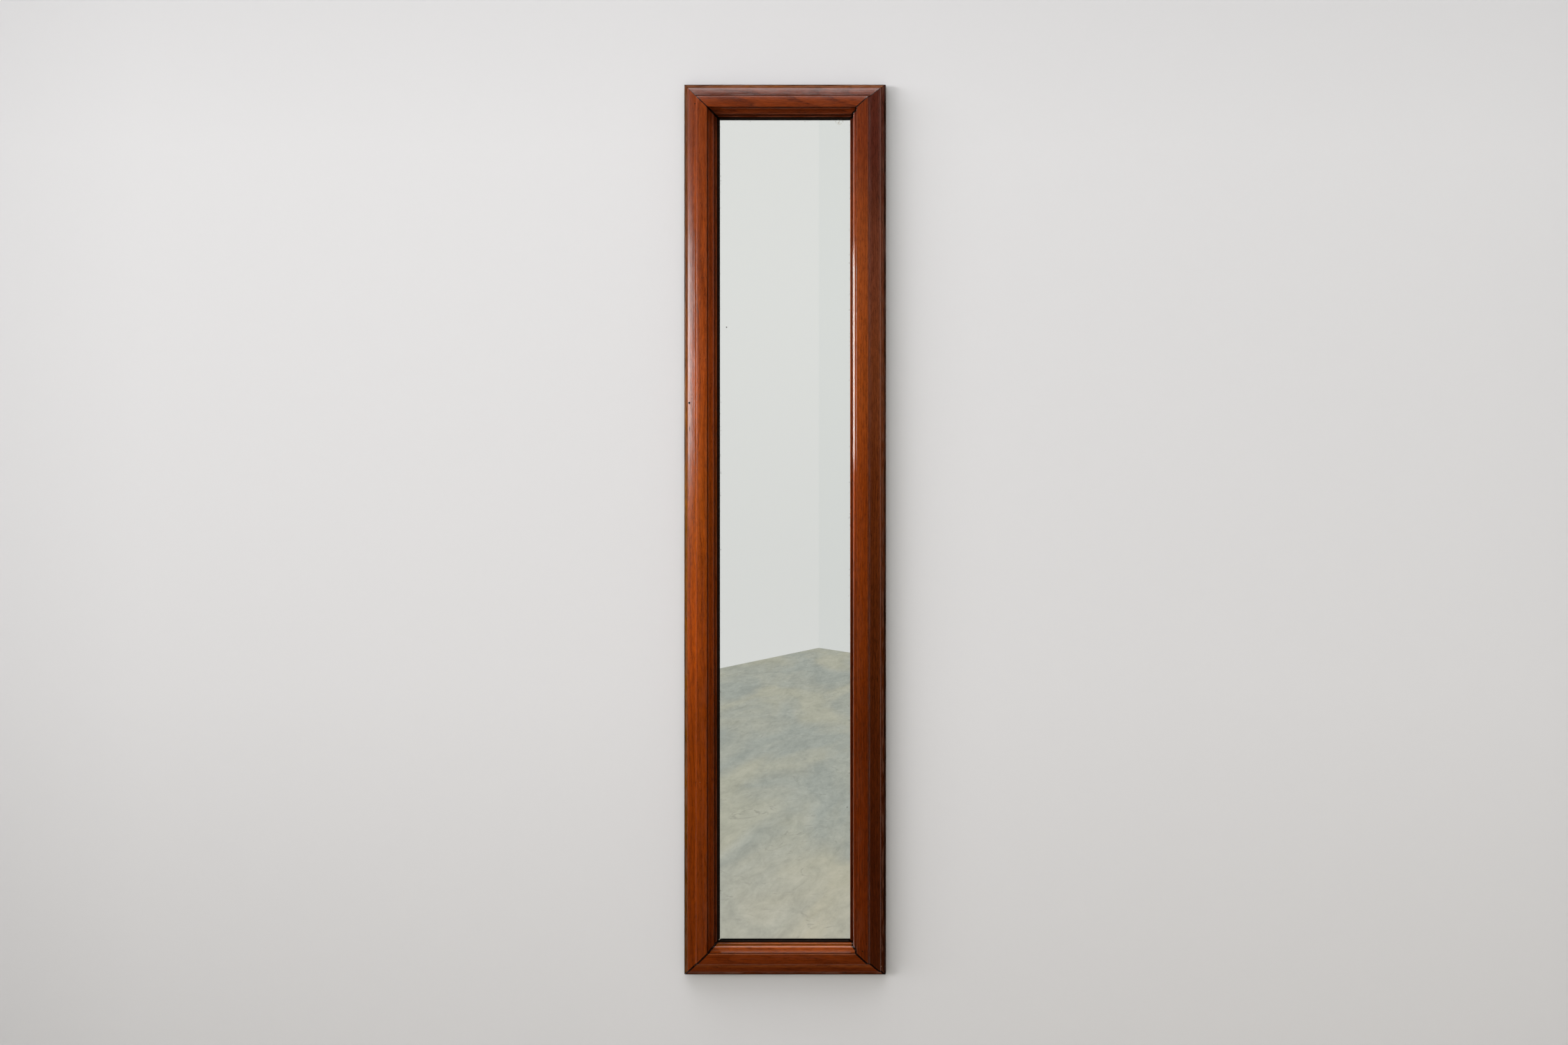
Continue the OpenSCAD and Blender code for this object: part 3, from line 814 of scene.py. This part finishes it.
bright = blend(tree, browned, (0.93, 0.94, 0.93), (0.42, 0.33, 0.16))
feed(tree, shader, {
    "Base Color": blend(tree, worn, bright, (0.07, 0.05, 0.025)),
    "Roughness": product(tree, larger(tree, worn, browned), 0.5),
    "Metallic": 1.0,
})

pane.data.materials.append(clear)
pane.data.materials.append(silver)
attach(pane, "root")
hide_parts("mirror_glass")

# Backing board: 3 mm brown hardboard, smooth side out, with lightly broken edges.
# It lies on the back of the glass and is held by the backing pins.
bm = sheet_between(*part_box("backing_board"), 2)
for f in bm.faces:
    f.smooth = True
for e in bm.edges:
    e.smooth = e.calc_face_angle(0) < math.radians(50)
board = as_object(bm, "hardboard_back")
hardboard, tree, shader = finish_named("hardboard")
place = own_place(tree)
fluff = cloudy_noise(tree, place, 420.0, 6.0, distortion=1.2)
damp = cloudy_noise(tree, place, 5.0, 5.0)
brown = blend(tree, fade(tree, fluff, 0.35, 0.65), (0.10, 0.052, 0.026), (0.27, 0.155, 0.085))
feed(tree, shader, {
    "Base Color": blend(tree, 0.6, brown, scale(tree, damp, ((0.3, 0.6), (0.7, 1.15))), "MULTIPLY"),
    "Roughness": total(tree, product(tree, damp, 0.3), 0.35),
    "Normal": raised(tree, fluff, 0.3, 0.2 * mm),
})
board.data.materials.append(hardboard)
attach(board, "root")
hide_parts("backing_board")


def dress(node, finish):
    """Gives a carried-over CAD node its finish."""
    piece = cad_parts[node]
    piece.data.materials.clear()
    piece.data.materials.append(finish)


# Loose tongues: one bare beech spline across each mitre, glued into slots in both ends.
# They lie wholly inside the wood and keep the corners in line.
corner_turn = (0, math.radians(45), 0)
beech = bare_wood("bare_beech", (0.62, 0.43, 0.27), (0.45, 0.28, 0.16), corner_turn, 700)
for node in ("top_left_spline", "top_right_spline", "bottom_left_spline", "bottom_right_spline"):
    dress(node, beech)


def worked_metal(name, colour, dark, low, high, grain):
    """Metal with drawing or rolling marks, and dull patches where it has aged."""
    mat, tree, shader = finish_named(name)
    place = own_place(tree)
    marks = drawn_noise(tree, place, grain, 4.0)
    patch = cloudy_noise(tree, place, 380.0, 4.0)
    spread = {"Value": patch, "From Min": 0.3, "From Max": 0.7, "To Min": low, "To Max": high}
    feed(tree, shader, {
        "Base Color": blend(tree, fade(tree, patch, 0.42, 0.68), colour, dark),
        "Roughness": add(tree, "MapRange", spread).outputs["Result"],
        "Metallic": 1.0,
        "Normal": raised(tree, marks, 0.35, 0.08 * mm),
    })
    return mat


# Pins: dull drawn steel, two driven through each corner and a row round the backing board.
# The heads in the outer sides sit below the surface.
pin_steel = worked_metal(
    "drawn_steel", (0.40, 0.38, 0.36), (0.16, 0.11, 0.08), 0.35, 0.6, (300, 3000, 3000)
)
dress("corner_pins", pin_steel)
dress("backing_pins", pin_steel)

# Setting blocks: two black rubber strips under the glass.
# The glass stands on them, clear of the wood.
rubber, tree, shader = finish_named("black_rubber")
bloom = cloudy_noise(tree, own_place(tree), 500.0, 5.0)
feed(tree, shader, {
    "Base Color": blend(
        tree, fade(tree, bloom, 0.4, 0.7), (0.028, 0.028, 0.028), (0.07, 0.068, 0.064)
    ),
    "Roughness": total(tree, product(tree, bloom, 0.3), 0.55),
    "Normal": raised(tree, bloom, 0.4, 0.2 * mm),
})
dress("setting_blocks", rubber)

# Packers: slips of bare softwood, split along the grain and pushed in round the glass.
# They keep it in the middle of its rebate.
pale = (0.66, 0.49, 0.30)
pale_dark = (0.50, 0.33, 0.17)
dress("side_packers", bare_wood("bare_softwood", pale, pale_dark, upright, 500))
dress("top_packers", bare_wood("bare_softwood_flat", pale, pale_dark, lying, 500))

# Keyhole plates and their screws: zinc-plated steel, rolled and pressed.
# The plates are let in flush with the back of the stiles, each with two countersunk screws.
zinc = worked_metal(
    "zinc_plate", (0.62, 0.61, 0.57), (0.40, 0.38, 0.33), 0.28, 0.5, (2200, 2200, 60)
)
dress("left_keyhole_plate", zinc)
dress("right_keyhole_plate", zinc)
dress("plate_screws", zinc)

# Stage: a pale wall that the frame hangs on, a pale floor and, for the mirror, the far corner
# of the room. The wall is drawn from its front only, so that the back can be looked at.
floor_z = -1.947
wall_y = 0.6 * mm


def flat_sheet(name, corners, facing):
    """One flat sheet of the stage through four corners, with its front to one side."""
    bm = bmesh.new()
    face = bmesh.ops.contextual_create(bm, geom=[bm.verts.new(c) for c in corners])["faces"][0]
    face.normal_update()
    if face.normal.dot(Vector(facing)) < 0:
        face.normal_flip()
    piece = as_object(bm, name)
    return piece


wall = flat_sheet(
    "wall", ((-7, wall_y, floor_z), (7, wall_y, floor_z), (7, wall_y, 3.5), (-7, wall_y, 3.5)),
    (0, -1, 0),
)
paint, tree, shader = finish_named("wall_paint")
place = own_place(tree)
axes = add(tree, "SeparateXYZ", {"Vector": place})
# Painted shade on the wall: darker towards the floor, a little darker at the top, and darker towards
# the left
painted_shade_by_height = scale(
    tree, share(tree, axes.outputs["Z"], -1.7, 0.3),
    (
        (0.0, (0.68, 0.672, 0.692)), (0.4, (0.79, 0.78, 0.803)),
        (0.86, (0.83, 0.82, 0.843)), (1.0, (0.785, 0.775, 0.797)),
    ),
)
painted_shade_by_side = scale(
    tree, share(tree, axes.outputs["X"], -1.4, 1.4),
    (
        (0.0, 0.80), (0.11, 0.88), (0.28, 0.92), (0.41, 0.945),
        (0.6, 0.96), (0.74, 0.975), (0.91, 1.0),
    ),
)
feed(tree, shader, {
    "Base Color": tinted(tree, painted_shade_by_height, painted_shade_by_side),
    "Roughness": 0.9,
    "Specular IOR Level": 0.2,
    "Normal": raised(tree, cloudy_noise(tree, place, 350.0, 3.0), 0.1, 0.4 * mm),
})
through = add(tree, "BsdfTransparent")
behind = add(tree, "NewGeometry").outputs["Backfacing"]
either = add(tree, "MixShader", {0: behind, 1: shader.outputs[0], 2: through.outputs[0]})
tree.links.new(either.outputs[0], tree.nodes["Material Output"].inputs["Surface"])
wall.data.materials.append(paint)
wall.visible_shadow = False

floor = flat_sheet(
    "floor", ((-7, 3, floor_z), (-7, -11, floor_z), (7, -11, floor_z), (7, 3, floor_z)), (0, 0, 1)
)
concrete, tree, shader = finish_named("pale_concrete")
place = own_place(tree)
trowel = {"Vector": place, "Rotation": (0, 0, math.radians(-32)), "Scale": (1.0, 0.42, 1.0)}
swept = add(tree, "Mapping", trowel).outputs[0]
big = cloudy_noise(tree, swept, 2.6, 7.0, roughness=0.66, distortion=0.9)
small = cloudy_noise(tree, swept, 13.0, 6.0, roughness=0.7, distortion=0.8)
fine = cloudy_noise(tree, swept, 48.0, 4.0, roughness=0.7)
mottle = total(tree, product(tree, big, 0.42), product(tree, small, 0.36))
mottle = total(tree, mottle, product(tree, fine, 0.22))
grey = scale(
    tree, mottle,
    ((0.4, (0.288, 0.295, 0.254)), (0.5, (0.350, 0.355, 0.304)), (0.6, (0.408, 0.409, 0.350))),
)
tint = scale(
    tree, cloudy_noise(tree, swept, 2.6, 3.0, distortion=0.6),
    ((0.38, (0.97, 1.0, 1.06)), (0.5, (1.0, 1.0, 1.02)), (0.62, (1.03, 1.005, 0.97))),
)
# Painted light: the floor is brighter towards the wall
painted_light_near_wall = scale(
    tree, share(tree, add(tree, "SeparateXYZ", {"Vector": place}).outputs["Y"], -5, 0),
    ((0.5, (1.0, 1.0, 1.0)), (0.72, (1.24, 1.15, 1.08))),
)
grey = tinted(tree, tinted(tree, grey, tint), painted_light_near_wall)
vein_at = cloudy_noise(tree, place, 3.2, 5.0, distortion=1.6)
vein = fade(tree, calc(tree, "ABSOLUTE", less(tree, vein_at, 0.5)), 0.010, 0.001)
vein = product(tree, vein, fade(tree, small, 0.45, 0.62))
grey = blend(tree, product(tree, vein, 0.4), grey, (0.17, 0.17, 0.15))
feed(tree, shader, {"Base Color": grey, "Roughness": 0.7})
# In the mirror the floor is not lit but glows with its own colour: painted light
glow = add(tree, "Emission", {"Color": grey, "Strength": 1.2})
mirrored = add(tree, "LightPath").outputs["Is Transmission Ray"]
either = add(tree, "MixShader", {0: mirrored, 1: shader.outputs[0], 2: glow.outputs[0]})
tree.links.new(either.outputs[0], tree.nodes["Material Output"].inputs["Surface"])
floor.data.materials.append(concrete)
floor.visible_glossy = False

# The far corner of the room, seen only in the mirror: two walls that glow with painted light, a little
# darker towards the floor
room_corner = Vector((-1.15, -6.83, floor_z))
side_reach = 9
side_tall = Vector((0, 0, 7))
for name, way, colour in (
    ("room_side_a", Vector((-0.521, 0.853, 0)), (0.805, 0.803, 0.792)),
    ("room_side_b", Vector((0.78, 0.62, 0)), (0.768, 0.776, 0.764)),
):
    far = room_corner + way * side_reach
    sheet = flat_sheet(name, (room_corner, far, far + side_tall, room_corner + side_tall), (0, 1, 0))
    room_glow, tree, shader = finish_named(name + "_paint")
    tree.nodes.remove(shader)
    height = add(tree, "SeparateXYZ", {"Vector": own_place(tree)}).outputs["Z"]
    painted_shade_low = scale(tree, fade(tree, height, floor_z, floor_z + 3.0), ((0.0, 0.95), (1.0, 1.02)))
    glow = add(tree, "Emission", {"Color": tinted(tree, colour, painted_shade_low), "Strength": 1.0})
    tree.links.new(glow.outputs[0], tree.nodes["Material Output"].inputs["Surface"])
    sheet.data.materials.append(room_glow)
    sheet.visible_camera = False
    sheet.visible_diffuse = False
    sheet.visible_glossy = False
    sheet.visible_shadow = False


def soft_panel(name, at, towards, width, height, radiance, fan=180):
    """A rectangular lamp of a given brightness, turned to a point. fan is how widely it shines."""
    data = bpy.data.lights.new(name, "AREA")
    data.shape = "RECTANGLE"
    data.size = width
    data.size_y = height
    data.energy = radiance * math.pi * width * height
    if fan < 180:
        half = math.radians(fan / 2)
        data.spread = 2 * half
        data.energy *= (math.tan(half) - half) / math.tan(half)
    lamp = bpy.data.objects.new(name, data)
    lamp.location = at
    lamp.rotation_euler = (Vector(towards) - Vector(at)).to_track_quat("-Z", "Y").to_euler()
    scene.collection.objects.link(lamp)
    lamp.visible_camera = False
    lamp.visible_transmission = False


# Light: a tall soft window on the left, a soft panel above, and a pale room all round,
# brighter above and on the left. A small lamp behind lights the back for the views from there.
soft_panel("window_left", (-5.34, -2.36, 0.19), (0, 0, -0.39), 3.0, 1.42, 25.5, 58)
soft_panel("panel_above", (-0.5, -2.0, 4.4), (0, 0, -0.4), 5.0, 2.0, 4.2)
soft_panel("lamp_behind", (0, 1.3, -0.63), (0, 0, -0.63), 0.28, 1.0, 14.0)

world = bpy.data.worlds.new("room_light")
world.use_nodes = True
scene.world = world
tree = world.node_tree
tree.nodes.clear()
axes = add(tree, "SeparateXYZ", {"Vector": add(tree, "TexCoord").outputs["Generated"]})
by_height = scale(
    tree, share(tree, axes.outputs["Z"], -1, 1), ((0.0, 0.03), (0.40, 0.08), (0.53, 1.0), (1.0, 2.0))
)
by_side = scale(
    tree, share(tree, axes.outputs["X"], -1, 1), ((0.0, 1.1), (0.5, 1.0), (0.75, 0.6), (1.0, 0.32))
)
by_depth = scale(
    tree, share(tree, axes.outputs["Y"], -1, 1), ((0.0, 0.04), (0.15, 0.08), (0.27, 1.0), (0.5, 1.3))
)
overhead = scale(tree, axes.outputs["Z"], ((0.64, 0.0), (0.82, 0.8)))
room = tinted(tree, tinted(tree, by_height, by_side), larger(tree, by_depth, overhead))
path = add(tree, "LightPath")
room = blend(tree, product(tree, path.outputs["Is Glossy Ray"], 0.3), room, (0, 0, 0))
seen = larger(tree, path.outputs["Is Camera Ray"], path.outputs["Is Transmission Ray"])
air = blend(tree, seen, room, (0.80, 0.80, 0.79))
back = add(tree, "Background", {"Color": air, "Strength": 1.0})
tree.links.new(back.outputs[0], add(tree, "OutputWorld").inputs["Surface"])
